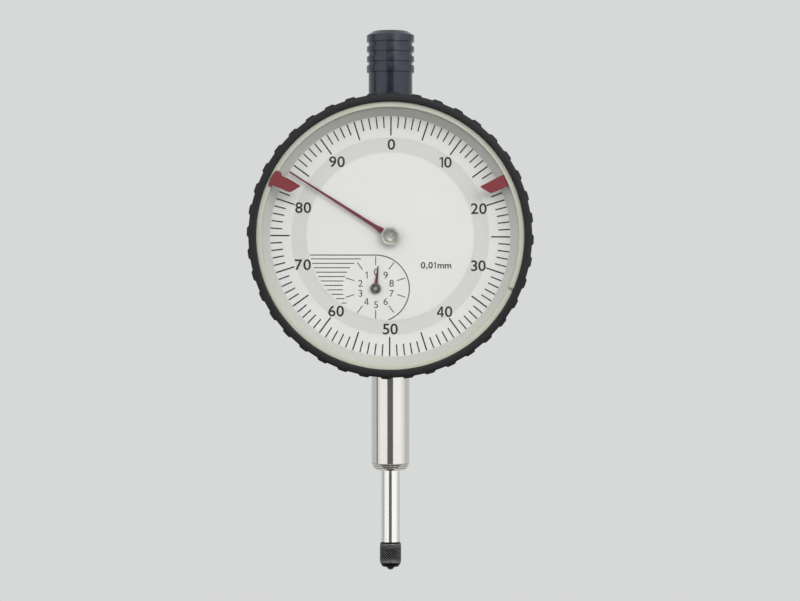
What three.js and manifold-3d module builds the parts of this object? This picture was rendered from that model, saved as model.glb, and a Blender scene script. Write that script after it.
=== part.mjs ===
// Plunger dial indicator, 0.01 mm per division, in millimetres.
// +Z points up along the spindle, the dial faces -Y, and +X is to the right of someone reading it.
// The origin is on the stem's axis, half way down the part of the stem that a holder clamps.

import * as THREE from "three";
import { mergeVertices } from "three/addons/utils/BufferGeometryUtils.js";
import Module from "manifold-3d";

const wasm = await Module();
wasm.setup();

// ---------------------------------------------------------------- driving dimensions

const DIAL_ABOVE_ORIGIN = 39;
const STROKE = 10.2;

const RING_STEPS = 60;
const SHAFT_STEPS = 16;
const SCREW_STEPS = 10;

const BEZEL = { tip: 29.5, valley: 29.15, bore: 27.65, neckBore: 26.75, front: -13.9, rear: -4.95 };
const LOBES = { count: 40, topDegrees: 3.0, baseDegrees: 4.8, offsetDegrees: 1.65 };
const LEDGE_Y = -8.35;

const CASE = { radius: 28.2, bore: 24.8, shoulder: -4.7, rear: 7.95 };
const NECK = { radius: 26.6, grooveRadius: 25.9, grooveFront: -6.65, grooveRear: -5.95 };
const DECK = { front: -8.3, rear: -6.6, centreHole: 2.4 };
const COVER = { radius: 27.9, front: 8.3, rear: 9.8, chamfer: 0.4, screwCircle: 26.4 };

const DIAL = { front: -8.9, rear: -8.4, discRadius: 17.7, ringInner: 17.9, ringOuter: 27.55 };
const CRYSTAL = { front: -12.1, rear: -11.1, radius: 27.5 };
const SNAP_RING = { front: -13.0, rear: -12.6, inner: 26.5, outer: 27.55, gapAt: 113.8, gap: 1.2 };
const FLANGE = { foot: 24.85, top: 26.4, front: -11.05, rear: -8.95 };

const MARKER = { inner: 20.95, shoulder: 22.45, outer: 27.4, halfWidth: 1.25, headInner: 26.3 };
const LEFT_MARKER = { at: -63.9, front: -13.4, rear: -13.1, headHalfWidth: 1.7 };
const RIGHT_MARKER = { at: 64.3, front: -12.5, rear: -12.2, headHalfWidth: 1.25 };

const STEM = { radius: 4.0, bore: 2.55, top: -25.0, noseTop: -47.55, bottom: -48.95 };
const SPINDLE = { radius: 2.0, bottom: -64.15, shoulder: 40.2, top: 42.4, threadRadius: 1.25 };
const BUSH_BORE = 2.06;
const UPPER_NECK = { radius: 3.3, bore: 2.6, bottom: 24.6, top: 39.6 };
const CAP = { skirtRadius: 4.6, gripRadius: 5.0, grooveRadius: 4.62, bottom: 28.7, gripBottom: 34.62 };
const CAP_GROOVES = [[36.07, 36.87], [37.97, 38.97], [40.06, 41.06]];
const CONTACT = { radius: 2.25, top: -64.2, bottom: -69.25, tip: -69.95, ballRadius: 0.87 };

const CENTRE_TEETH = 10;
const WHEEL_TEETH = 100;
const GEAR_DISTANCE = 11.2;
const RACK_PITCH = 0.625;
const RACK_PINION_TEETH = 16;
const TOOTH = { addendum: 0.15, dedendum: 0.3 };
const COUNTER_DIRECTION = 195.72;
const TAKE_UP_DIRECTION = 42;

const ARBOR_RADIUS = 0.6;
const PIVOT_RADIUS = 0.36;
const PIVOT_HOLE = 0.42;
const BRIDGE = { front: -3.2, rear: -2.4, radius: 20.5 };
const REAR_PLATE = { front: 2.9, rear: 3.7, radius: 20.5 };
const COUNTER_GEAR = { front: -4.6, rear: -4.1 };
const TAKE_UP_GEAR = { front: -5.7, rear: -5.2 };
const PINION = { front: -6.2, rear: -3.4 };
const PILLARS = [[-17, 4], [-7, 17], [16.5, -6.5], [9.5, -17]];

const MAIN_HAND = { at: 302.5, reach: 24.7, front: -10.0, rear: -9.8 };
const COUNTER_HAND = { at: 6.3, reach: 4.7, front: -9.35, rear: -9.2 };
const GUIDE_PIN = { z: 5, radius: 0.5, front: -0.4, rear: 6.9 };
const SPRING = { y: 5.4, coilRadius: 1.2, wireRadius: 0.16, bottom: -16.6, top: 4.1, turns: 9 };

// ---------------------------------------------------------------- materials

const material = (color, roughness, metalness) =>
  new THREE.MeshStandardMaterial({ color, roughness, metalness });

const BLACK_PLASTIC = material(0x2c2e31, 0.55, 0);
const PAINTED_CASE = material(0x3a3d42, 0.45, 0.2);
const CAP_PLASTIC = material(0x43464f, 0.5, 0);
const POLISHED_STEEL = material(0xc9cacb, 0.2, 1);
const SATIN_STEEL = material(0xa9abad, 0.4, 1);
const BLACKENED_STEEL = material(0x1b1c1e, 0.5, 0.6);
const BRASS = material(0xb5964c, 0.35, 1);
const BRONZE = material(0x9a6d3f, 0.4, 1);
const SPRING_STEEL = material(0x7f8a96, 0.3, 1);
const DIAL_WHITE = material(0xe4e4e0, 0.6, 0);
const FLANGE_WHITE = material(0xc9c8b9, 0.5, 0);
const HAND_RED = material(0x6f1524, 0.5, 0);
const MARKER_RED = material(0x9c2633, 0.45, 0);
const CLEAR = material(0xf4f6f6, 0.05, 0);
const GASKET_RUBBER = material(0x202020, 0.9, 0);

// ---------------------------------------------------------------- geometry helpers

const radians = THREE.MathUtils.degToRad;

// A point in the dial plane, at an angle measured clockwise from the top.
function dialPoint(radius, degrees) {
  const angle = radians(degrees);
  return new THREE.Vector2(radius * Math.sin(angle), radius * Math.cos(angle));
}

// Points on an arc about the dial's centre, both ends included.
function arcPoints(radius, from, to, steps) {
  const points = [];
  for (let i = 0; i <= steps; i += 1) {
    points.push(dialPoint(radius, from + ((to - from) * i) / steps));
  }
  return points;
}

function circlePoints(radius, steps, x = 0, z = 0) {
  const points = arcPoints(radius, 0, 360, steps).slice(0, steps);
  return points.map((p) => new THREE.Vector2(p.x + x, p.y + z));
}

// A solid of revolution about the dial's axis, Y. Its profile is [radius, y] points, in the order
// that keeps the material on the left, and it closes on itself unless it ends on the axis.
function turned(profile, steps = SHAFT_STEPS) {
  const points = profile.map(([r, y]) => new THREE.Vector2(r, y));
  if (profile[0][0] > 0) {
    points.push(points[0].clone());
  }
  return new THREE.LatheGeometry(points, steps);
}

// The same about the spindle's axis, Z, with [radius, z] points.
function turnedUpright(profile, steps = SHAFT_STEPS) {
  return turned(profile, steps).rotateX(Math.PI / 2);
}

// A flat slab parallel to the dial, from an outline of (x, z) points.
function slab(outline, front, rear) {
  const options = { depth: rear - front, bevelEnabled: false };
  const shape = new THREE.Shape(outline);
  return new THREE.ExtrudeGeometry(shape, options).rotateX(Math.PI / 2).translate(0, rear, 0);
}

// The same with holes, each of them an outline of (x, z) points.
function plate(outline, holes, front, rear) {
  return cut(slab(outline, front, rear), ...holes.map((hole) => slab(hole, front - 1, rear + 1)));
}

function rod(radius, front, rear, x = 0, z = 0, steps = SHAFT_STEPS) {
  const profile = [[0, front], [radius, front], [radius, rear], [0, rear]];
  return turned(profile, steps).translate(x, 0, z);
}

function uprightRod(radius, bottom, top, steps = SHAFT_STEPS) {
  return turnedUpright([[0, bottom], [radius, bottom], [radius, top], [0, top]], steps);
}

function tube(inner, outer, front, rear, steps = SHAFT_STEPS) {
  return turned([[inner, front], [outer, front], [outer, rear], [inner, rear]], steps);
}

function uprightTube(inner, outer, bottom, top, steps = SHAFT_STEPS) {
  return tube(inner, outer, bottom, top, steps).rotateX(Math.PI / 2);
}

function toSolid(geometry) {
  const bare = geometry.clone();
  bare.deleteAttribute("normal");
  bare.deleteAttribute("uv");
  const merged = mergeVertices(bare, 1e-5);
  return new wasm.Manifold(
    new wasm.Mesh({
      numProp: 3,
      vertProperties: new Float32Array(merged.attributes.position.array),
      triVerts: new Uint32Array(merged.index.array),
    }),
  );
}

function toGeometry(solid) {
  const mesh = solid.getMesh();
  const geometry = new THREE.BufferGeometry();
  geometry.setAttribute("position", new THREE.BufferAttribute(mesh.vertProperties, 3));
  geometry.setIndex(new THREE.BufferAttribute(mesh.triVerts, 1));
  geometry.computeVertexNormals();
  return geometry;
}

const joined = (first, ...others) =>
  toGeometry(others.reduce((solid, other) => solid.add(toSolid(other)), toSolid(first)));

const cut = (first, ...cutters) =>
  toGeometry(cutters.reduce((solid, cutter) => solid.subtract(toSolid(cutter)), toSolid(first)));

const common = (first, second) => toGeometry(toSolid(first).intersect(toSolid(second)));

// Outline of a wheel with pointed teeth. One of its gaps lies at gapAt, clockwise from the top.
function gearOutline(teeth, pitchRadius, gapAt) {
  const points = [];
  for (let i = 0; i < teeth; i += 1) {
    const gap = gapAt + (360 * i) / teeth;
    points.push(dialPoint(pitchRadius - TOOTH.dedendum, gap));
    points.push(dialPoint(pitchRadius + TOOTH.addendum, gap + 180 / teeth));
  }
  return points;
}

// ---------------------------------------------------------------- assembly groups

const indicator = new THREE.Group();
const gauge = new THREE.Group();
gauge.position.z = DIAL_ABOVE_ORIGIN;
indicator.add(gauge);

function add(name, geometry, look, parent = gauge) {
  const mesh = new THREE.Mesh(geometry, look);
  mesh.name = name;
  parent.add(mesh);
  return mesh;
}

const counterCentre = dialPoint(GEAR_DISTANCE, COUNTER_DIRECTION);
const takeUpCentre = dialPoint(GEAR_DISTANCE, TAKE_UP_DIRECTION);
const screwAngles = [45, 135, 225, 315];
const coverScrews = screwAngles.map((angle) => dialPoint(COVER.screwCircle, angle));

// ---------------------------------------------------------------- case

function caseShell() {
  const shell = turned(
    [
      [DECK.centreHole, DECK.front],
      [NECK.radius, DECK.front],
      [NECK.radius, NECK.grooveFront],
      [NECK.grooveRadius, NECK.grooveFront],
      [NECK.grooveRadius, NECK.grooveRear],
      [NECK.radius, NECK.grooveRear],
      [NECK.radius, CASE.shoulder],
      [CASE.radius, CASE.shoulder],
      [CASE.radius, CASE.rear],
      [CASE.bore, CASE.rear],
      [CASE.bore, DECK.rear],
      [DECK.centreHole, DECK.rear],
    ],
    RING_STEPS,
  );
  // The stem's boss is flat in front, where the bezel turns past it.
  const bossRadius = 5.6;
  const bossFront = CASE.shoulder + 0.05;
  const behindBezel = new THREE.BoxGeometry(20, 20, 20).translate(0, bossFront + 10, -26);
  const stemBoss = common(uprightRod(bossRadius, -28.8, -24.2, 24), behindBezel);
  const neckBoss = uprightRod(4.6, 24, 28.5, 24);
  const screwHoles = coverScrews.map((p) => rod(0.85, 2, CASE.rear + 1, p.x, p.y, SCREW_STEPS));
  return cut(
    joined(shell, stemBoss, neckBoss),
    uprightRod(STEM.radius + 0.05, -31, -22),
    uprightRod(UPPER_NECK.radius + 0.05, 22, 30),
    rod(1.6, DECK.front - 1, DECK.rear + 1, counterCentre.x, counterCentre.y),
    rod(0.45, -7.5, DECK.rear + 1, takeUpCentre.x, takeUpCentre.y),
    ...screwHoles,
  );
}

function backCover() {
  const disc = turned(
    [
      [0, COVER.front],
      [COVER.radius, COVER.front],
      [COVER.radius, COVER.rear - COVER.chamfer],
      [COVER.radius - COVER.chamfer, COVER.rear],
      [0, COVER.rear],
    ],
    RING_STEPS,
  );
  const countersinks = coverScrews.map((p) =>
    turned(
      [[0, 8], [0.9, 8], [0.9, 8.8], [1.55, 9.45], [1.55, 10], [0, 10]],
      SCREW_STEPS,
    ).translate(p.x, 0, p.y),
  );
  return cut(disc, ...countersinks);
}

function addCase() {
  add("case_shell", caseShell(), PAINTED_CASE);
  add("back_cover", backCover(), PAINTED_CASE);
  const gasketHoles = coverScrews.map((p) => circlePoints(1, SCREW_STEPS, p.x, p.y));
  const gasketInner = circlePoints(CASE.bore + 0.1, RING_STEPS);
  const gasketOuter = circlePoints(COVER.radius - 0.1, RING_STEPS);
  const gasket = plate(gasketOuter, [gasketInner, ...gasketHoles], CASE.rear + 0.05, COVER.front - 0.05);
  add("back_cover_gasket", gasket, GASKET_RUBBER);
  coverScrews.forEach((p, i) => {
    const profile = [[0, 3], [0.75, 3], [0.75, 8.85], [1.4, 9.5], [1.4, 9.75], [0, 9.75]];
    const screw = turned(profile, SCREW_STEPS).translate(p.x, 0, p.y);
    add(`back_cover_screw_${i + 1}`, screw, POLISHED_STEEL);
  });
  add("bezel_spring_ring", tube(25.95, 26.5, -6.55, -6.05, RING_STEPS), SPRING_STEEL);
}

// ---------------------------------------------------------------- stem, bushes and upper neck

function addStem() {
  const stem = turnedUpright([
    [STEM.bore, STEM.bottom],
    [2.9, STEM.bottom],
    [3.6, STEM.bottom + 0.6],
    [STEM.radius, STEM.noseTop],
    [STEM.radius, STEM.top],
    [STEM.bore, STEM.top],
  ]);
  add("stem", stem, SATIN_STEEL);
  add("lower_guide_bush", uprightTube(BUSH_BORE, 2.5, -48.75, -39.5), BRONZE);
  const neck = uprightTube(UPPER_NECK.bore, UPPER_NECK.radius, UPPER_NECK.bottom, UPPER_NECK.top);
  add("upper_neck", neck, SATIN_STEEL);
  add("upper_guide_bush", uprightTube(BUSH_BORE, 2.55, 25, 31), BRONZE);
}

// ---------------------------------------------------------------- movement frame

function addMovementFrame() {
  const bridgeHoles = [
    circlePoints(PIVOT_HOLE, SHAFT_STEPS),
    circlePoints(0.8, SHAFT_STEPS, counterCentre.x, counterCentre.y),
    circlePoints(PIVOT_HOLE, SHAFT_STEPS, takeUpCentre.x, takeUpCentre.y),
    ...PILLARS.map(([x, z]) => circlePoints(1.6, SCREW_STEPS, x, z)),
  ];
  const bridgeOutline = circlePoints(BRIDGE.radius, 30);
  const bridge = plate(bridgeOutline, bridgeHoles, BRIDGE.front, BRIDGE.rear);
  add("movement_bridge_plate", bridge, BRASS);

  // The slot keeps the guide pin, and so the spindle, from turning.
  const slotHalfWidth = GUIDE_PIN.radius + 0.12;
  const slotBottom = GUIDE_PIN.z - 1;
  const slotTop = GUIDE_PIN.z + STROKE + 1;
  const slot = [
    new THREE.Vector2(-slotHalfWidth, slotBottom),
    new THREE.Vector2(slotHalfWidth, slotBottom),
    new THREE.Vector2(slotHalfWidth, slotTop),
    new THREE.Vector2(-slotHalfWidth, slotTop),
  ];
  const rearHoles = [
    slot,
    circlePoints(PIVOT_HOLE, SHAFT_STEPS, counterCentre.x, counterCentre.y),
    ...PILLARS.map(([x, z]) => circlePoints(0.8, SCREW_STEPS, x, z)),
  ];
  const rearOutline = circlePoints(REAR_PLATE.radius, 30);
  const rearPlate = plate(rearOutline, rearHoles, REAR_PLATE.front, REAR_PLATE.rear);
  add("movement_rear_plate", rearPlate, BRASS);

  const pillarProfile = [
    [0, DECK.rear + 0.05],
    [1.5, DECK.rear + 0.05],
    [1.5, REAR_PLATE.front - 0.05],
    [0.78, REAR_PLATE.front - 0.05],
    [0.78, -1],
    [0, -1],
  ];
  const screwProfile = [[0, -0.5], [0.7, -0.5], [0.7, 3.75], [1.3, 3.75], [1.3, 4.5], [0, 4.5]];
  PILLARS.forEach(([x, z], i) => {
    const pillar = turned(pillarProfile, SCREW_STEPS).translate(x, 0, z);
    add(`movement_pillar_${i + 1}`, pillar, SATIN_STEEL);
    const screw = turned(screwProfile, SCREW_STEPS).translate(x, 0, z);
    add(`movement_screw_${i + 1}`, screw, POLISHED_STEEL);
  });

  const bushFront = DECK.front + 0.05;
  const bushRear = DECK.rear - 0.05;
  add("centre_arbor_bush", tube(0.66, DECK.centreHole - 0.05, bushFront, bushRear), BRONZE);
  const counterBush = tube(0.66, 1.55, bushFront, bushRear);
  add("counter_arbor_bush", counterBush.translate(counterCentre.x, 0, counterCentre.y), BRONZE);
}

// ---------------------------------------------------------------- springs

class Helix extends THREE.Curve {
  getPoint(t, target = new THREE.Vector3()) {
    const angle = t * SPRING.turns * 2 * Math.PI;
    const x = SPRING.coilRadius * Math.cos(angle);
    const y = SPRING.y + SPRING.coilRadius * Math.sin(angle);
    return target.set(x, y, SPRING.bottom + t * (SPRING.top - SPRING.bottom));
  }
}

function measuringSpring() {
  const wire = new THREE.Shape(circlePoints(SPRING.wireRadius, 4));
  const steps = SPRING.turns * 7;
  return new THREE.ExtrudeGeometry(wire, { steps, extrudePath: new Helix() });
}

function hairspring() {
  const turns = 3.5;
  const steps = 42;
  const inner = 1.1;
  const outer = 4.6;
  const halfThickness = 0.08;
  const side = (offset) => {
    const points = [];
    for (let i = 0; i <= steps; i += 1) {
      const share = i / steps;
      points.push(dialPoint(inner + (outer - inner) * share + offset, 360 * turns * share));
    }
    return points;
  };
  return slab([...side(halfThickness), ...side(-halfThickness).reverse()], -4.5, -4.1);
}

function addSprings() {
  add("measuring_spring", measuringSpring(), SPRING_STEEL);
  const postRear = SPRING.y + SPRING.coilRadius;
  const postBottom = SPRING.bottom - 1;
  add("spring_post", rod(0.6, REAR_PLATE.rear + 0.05, postRear, 0, postBottom, SCREW_STEPS), SATIN_STEEL);
  add("hairspring", hairspring().translate(takeUpCentre.x, 0, takeUpCentre.y), SPRING_STEEL);
  const studX = takeUpCentre.x;
  const studZ = takeUpCentre.y - 5.1;
  const stud = rod(0.3, -4.6, BRIDGE.front - 0.05, studX, studZ, SCREW_STEPS);
  add("hairspring_stud", stud, BRASS);
}

// ---------------------------------------------------------------- dial, bezel and crystal

function addDial() {
  const holes = [
    circlePoints(1.3, SHAFT_STEPS),
    circlePoints(0.9, SHAFT_STEPS, counterCentre.x, counterCentre.y),
  ];
  const disc = plate(circlePoints(DIAL.discRadius, RING_STEPS), holes, DIAL.front, DIAL.rear);
  add("dial_centre_disc", disc, DIAL_WHITE);
}

// Straight-sided grip lobes round the bezel.
function lobedOutline() {
  const points = [];
  const pitch = 360 / LOBES.count;
  for (let i = 0; i < LOBES.count; i += 1) {
    const centre = LOBES.offsetDegrees + i * pitch;
    points.push(dialPoint(BEZEL.valley, centre - LOBES.baseDegrees / 2));
    points.push(dialPoint(BEZEL.tip, centre - LOBES.topDegrees / 2));
    points.push(dialPoint(BEZEL.tip, centre + LOBES.topDegrees / 2));
    points.push(dialPoint(BEZEL.valley, centre + LOBES.baseDegrees / 2));
  }
  return points;
}

function bezelRing() {
  const clear = BEZEL.tip + 0.2;
  const ring = turned(
    [
      [BEZEL.bore, BEZEL.front],
      [BEZEL.valley - 0.3, BEZEL.front],
      [clear, BEZEL.front + 0.8],
      [clear, BEZEL.rear - 0.6],
      [BEZEL.valley - 0.2, BEZEL.rear],
      [BEZEL.neckBore, BEZEL.rear],
      [BEZEL.neckBore, LEDGE_Y],
      [BEZEL.bore, LEDGE_Y],
    ],
    RING_STEPS,
  );
  return common(ring, slab(lobedOutline(), BEZEL.front - 1, BEZEL.rear + 1));
}

function snapRing() {
  const from = SNAP_RING.gapAt + SNAP_RING.gap / 2;
  const to = SNAP_RING.gapAt - SNAP_RING.gap / 2 + 360;
  const outer = arcPoints(SNAP_RING.outer, from, to, RING_STEPS);
  const inner = arcPoints(SNAP_RING.inner, from, to, RING_STEPS);
  return slab([...outer, ...inner.reverse()], SNAP_RING.front, SNAP_RING.rear);
}

function addBezel() {
  add("bezel_ring", bezelRing(), BLACK_PLASTIC);
  const scaleRing = tube(DIAL.ringInner, DIAL.ringOuter, DIAL.front, DIAL.rear, RING_STEPS);
  add("scale_ring", scaleRing, DIAL_WHITE);
  const flange = turned(
    [
      [FLANGE.top, FLANGE.front],
      [DIAL.ringOuter, FLANGE.front],
      [DIAL.ringOuter, FLANGE.rear],
      [FLANGE.foot, FLANGE.rear],
    ],
    RING_STEPS,
  );
  add("dial_flange_ring", flange, FLANGE_WHITE);
  add("crystal", rod(CRYSTAL.radius, CRYSTAL.front, CRYSTAL.rear, 0, 0, RING_STEPS), CLEAR);
  add("crystal_snap_ring", snapRing(), FLANGE_WHITE);
}

// A marker points inwards, and the corner on its long side is its index edge.
function markerOutline(longSide, headHalfWidth) {
  const w = MARKER.halfWidth * longSide;
  const head = headHalfWidth * longSide;
  return [
    new THREE.Vector2(w, MARKER.inner),
    new THREE.Vector2(w, MARKER.headInner),
    new THREE.Vector2(head, MARKER.headInner + 0.1),
    new THREE.Vector2(head, MARKER.outer - 0.1),
    new THREE.Vector2(-head, MARKER.outer - 0.1),
    new THREE.Vector2(-head, MARKER.headInner + 0.1),
    new THREE.Vector2(-w, MARKER.headInner),
    new THREE.Vector2(-w, MARKER.shoulder),
  ];
}

function addMarker(name, place, longSide) {
  const outline = markerOutline(longSide, place.headHalfWidth);
  const marker = add(name, slab(outline, place.front, place.rear), MARKER_RED);
  marker.rotation.y = radians(place.at);
}

// ---------------------------------------------------------------- spindle

const wheelPitchRadius = (GEAR_DISTANCE * WHEEL_TEETH) / (WHEEL_TEETH + CENTRE_TEETH);
const centrePitchRadius = GEAR_DISTANCE - wheelPitchRadius;
const rackPinionRadius = (RACK_PITCH * RACK_PINION_TEETH) / (2 * Math.PI);
const rackPitchX = counterCentre.x + rackPinionRadius;

// What is cut away from the spindle's left side to leave the rack. A gap of the rack faces the
// pinion's tooth at rest, and the rack is long enough to stay in mesh through the whole stroke.
function rackCutter() {
  const gapsBelow = 20;
  const gapsAbove = 4;
  const outside = -SPINDLE.radius - 1;
  const points = [];
  for (let i = -gapsBelow; i <= gapsAbove; i += 1) {
    const z = counterCentre.y + i * RACK_PITCH;
    points.push(new THREE.Vector2(rackPitchX - TOOTH.addendum, z - RACK_PITCH / 2));
    points.push(new THREE.Vector2(rackPitchX + TOOTH.dedendum, z));
  }
  const bottom = counterCentre.y - (gapsBelow + 0.5) * RACK_PITCH;
  const top = counterCentre.y + (gapsAbove + 0.5) * RACK_PITCH;
  points.push(new THREE.Vector2(rackPitchX - TOOTH.addendum, top));
  points.push(new THREE.Vector2(outside, top), new THREE.Vector2(outside, bottom));
  return slab(points, -3, 3);
}

function spindle() {
  const bar = turnedUpright([
    [0, SPINDLE.bottom],
    [SPINDLE.radius, SPINDLE.bottom],
    [SPINDLE.radius, SPINDLE.shoulder],
    [SPINDLE.threadRadius, SPINDLE.shoulder],
    [SPINDLE.threadRadius, SPINDLE.top],
    [0, SPINDLE.top],
  ]);
  return cut(
    bar,
    rackCutter(),
    rod(GUIDE_PIN.radius + 0.05, GUIDE_PIN.front - 0.1, 3, 0, GUIDE_PIN.z, SCREW_STEPS),
    uprightRod(1.3, SPINDLE.bottom - 1, -59.5),
  );
}

function liftingCap() {
  const grip = [];
  for (const [low, high] of CAP_GROOVES) {
    grip.push([CAP.gripRadius, low], [CAP.grooveRadius, low]);
    grip.push([CAP.grooveRadius, high], [CAP.gripRadius, high]);
  }
  return turnedUpright([
    [0, 42.7],
    [1.3, 42.7],
    [1.3, 41],
    [3.6, 41],
    [3.6, CAP.bottom],
    [CAP.skirtRadius, CAP.bottom],
    [CAP.skirtRadius, CAP.gripBottom],
    [CAP.gripRadius, CAP.gripBottom],
    ...grip,
    [CAP.gripRadius, 42.45],
    [3.65, 43.3],
    [0, 43.45],
  ]);
}

function contactHolder() {
  const socketTop = -67.95;
  return turnedUpright([
    [0, socketTop],
    [0.95, socketTop],
    [0.95, CONTACT.bottom],
    [1.7, CONTACT.bottom],
    [CONTACT.radius, -68.35],
    [CONTACT.radius, -64.45],
    [2.05, CONTACT.top],
    [1.22, CONTACT.top],
    [1.22, -60],
    [0, -60],
  ]);
}

function contactBall() {
  const centre = CONTACT.tip + CONTACT.ballRadius;
  const dome = [0, 30, 60, 90].map((degrees) => [
    CONTACT.ballRadius * Math.sin(radians(degrees)),
    centre - CONTACT.ballRadius * Math.cos(radians(degrees)),
  ]);
  return turnedUpright([...dome, [CONTACT.ballRadius, -68.05], [0, -68.05]]);
}

function addSpindle() {
  add("spindle", spindle(), POLISHED_STEEL);
  const pin = rod(GUIDE_PIN.radius, GUIDE_PIN.front, GUIDE_PIN.rear, 0, GUIDE_PIN.z, SCREW_STEPS);
  add("guide_pin", pin, SATIN_STEEL);
  add("contact_holder", contactHolder(), BLACKENED_STEEL);
  add("contact_ball", contactBall(), POLISHED_STEEL);
  add("lifting_cap", liftingCap(), CAP_PLASTIC);
}

// ---------------------------------------------------------------- hands and gear train

// A flat hand that points up: an eye round its hub, and a blade that narrows in two steps.
function handOutline(eyeRadius, rootHalfWidth, waist, waistHalfWidth, reach, tipHalfWidth) {
  const spread = THREE.MathUtils.radToDeg(Math.asin(rootHalfWidth / eyeRadius));
  return [
    ...arcPoints(eyeRadius, spread, 360 - spread, SHAFT_STEPS),
    new THREE.Vector2(-waistHalfWidth, waist),
    new THREE.Vector2(-tipHalfWidth, reach),
    new THREE.Vector2(tipHalfWidth, reach),
    new THREE.Vector2(waistHalfWidth, waist),
  ];
}

function addCentreArbor() {
  // One tooth of the pinion points at the counter wheel.
  const gapAt = COUNTER_DIRECTION + 180 / CENTRE_TEETH;
  const outline = gearOutline(CENTRE_TEETH, centrePitchRadius, gapAt);
  const teeth = slab(outline, PINION.front, PINION.rear);
  const arbor = turned([
    [0, -10.7],
    [0.45, -10.7],
    [0.45, -9.2],
    [ARBOR_RADIUS, -9.2],
    [ARBOR_RADIUS, PINION.rear - 0.2],
    [PIVOT_RADIUS, PINION.rear - 0.2],
    [PIVOT_RADIUS, BRIDGE.rear - 0.1],
    [0, BRIDGE.rear - 0.1],
  ]);
  add("centre_pinion", joined(arbor, teeth), SATIN_STEEL);

  const hub = turned([
    [0.5, -10.8],
    [1.6, -10.8],
    [1.95, -10.45],
    [1.95, -10.1],
    [1.0, -10.1],
    [1.0, -9.3],
    [0.5, -9.3],
  ]);
  add("main_hand_hub", hub, POLISHED_STEEL);
  const blade = handOutline(1.8, 0.62, 3.4, 0.32, MAIN_HAND.reach, 0.12);
  const eye = circlePoints(1.05, SHAFT_STEPS);
  const hand = add("main_hand", plate(blade, [eye], MAIN_HAND.front, MAIN_HAND.rear), HAND_RED);
  hand.rotation.y = radians(MAIN_HAND.at);
}

function addCounterArbor() {
  const train = new THREE.Group();
  train.position.set(counterCentre.x, 0, counterCentre.y);
  gauge.add(train);

  // A tooth of the rack pinion points at the rack, and a gap of the wheel at the centre pinion.
  const toothGap = 90 + 180 / RACK_PINION_TEETH;
  const rackPinion = slab(gearOutline(RACK_PINION_TEETH, rackPinionRadius, toothGap), -1.1, 1.1);
  const arbor = turned([
    [0, -9.65],
    [0.3, -9.65],
    [0.3, -9],
    [ARBOR_RADIUS, -9],
    [ARBOR_RADIUS, REAR_PLATE.front - 0.2],
    [PIVOT_RADIUS, REAR_PLATE.front - 0.2],
    [PIVOT_RADIUS, REAR_PLATE.rear - 0.1],
    [0, REAR_PLATE.rear - 0.1],
  ]);
  add("counter_arbor", joined(arbor, rackPinion), SATIN_STEEL, train);

  const bore = circlePoints(ARBOR_RADIUS + 0.05, SHAFT_STEPS);
  const wheel = gearOutline(WHEEL_TEETH, wheelPitchRadius, COUNTER_DIRECTION - 180);
  add("counter_gear", plate(wheel, [bore], COUNTER_GEAR.front, COUNTER_GEAR.rear), BRASS, train);

  const hub = turned([
    [0.35, -9.7],
    [0.9, -9.7],
    [1.1, -9.55],
    [1.1, -9.4],
    [0.5, -9.4],
    [0.5, -9.05],
    [0.35, -9.05],
  ]);
  add("counter_hand_hub", hub, BLACKENED_STEEL, train);
  const outline = handOutline(1.0, 0.4, 1.6, 0.32, COUNTER_HAND.reach, 0.1);
  const eye = circlePoints(0.55, SHAFT_STEPS);
  const blade = plate(outline, [eye], COUNTER_HAND.front, COUNTER_HAND.rear);
  const hand = add("counter_hand", blade, HAND_RED, train);
  hand.rotation.y = radians(COUNTER_HAND.at);
}

function addTakeUpArbor() {
  const train = new THREE.Group();
  train.position.set(takeUpCentre.x, 0, takeUpCentre.y);
  gauge.add(train);

  const arbor = turned([
    [0, -7.4],
    [PIVOT_RADIUS, -7.4],
    [PIVOT_RADIUS, -6.5],
    [ARBOR_RADIUS, -6.5],
    [ARBOR_RADIUS, BRIDGE.front - 0.1],
    [PIVOT_RADIUS, BRIDGE.front - 0.1],
    [PIVOT_RADIUS, BRIDGE.rear - 0.1],
    [0, BRIDGE.rear - 0.1],
  ]);
  add("take_up_arbor", arbor, SATIN_STEEL, train);

  // The pinion's nearest tooth lies a little past the line of centres, so the gap does too.
  const pinionStep = 360 / CENTRE_TEETH;
  const fromTooth = (TAKE_UP_DIRECTION - COUNTER_DIRECTION) % pinionStep;
  const gapAt = TAKE_UP_DIRECTION + 180 + (fromTooth * CENTRE_TEETH) / WHEEL_TEETH;
  const bore = circlePoints(ARBOR_RADIUS + 0.05, SHAFT_STEPS);
  const wheel = gearOutline(WHEEL_TEETH, wheelPitchRadius, gapAt);
  add("take_up_gear", plate(wheel, [bore], TAKE_UP_GEAR.front, TAKE_UP_GEAR.rear), BRASS, train);
}

// ---------------------------------------------------------------- the whole indicator

addCase();
addStem();
addMovementFrame();
addSprings();
addDial();
addBezel();
addMarker("marker_left", LEFT_MARKER, 1);
addMarker("marker_right", RIGHT_MARKER, -1);
addSpindle();
addCentreArbor();
addCounterArbor();
addTakeUpArbor();

export default indicator;
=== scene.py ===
import math

import bmesh
import bpy
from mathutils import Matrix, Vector
from mathutils.geometry import tessellate_polygon


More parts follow.
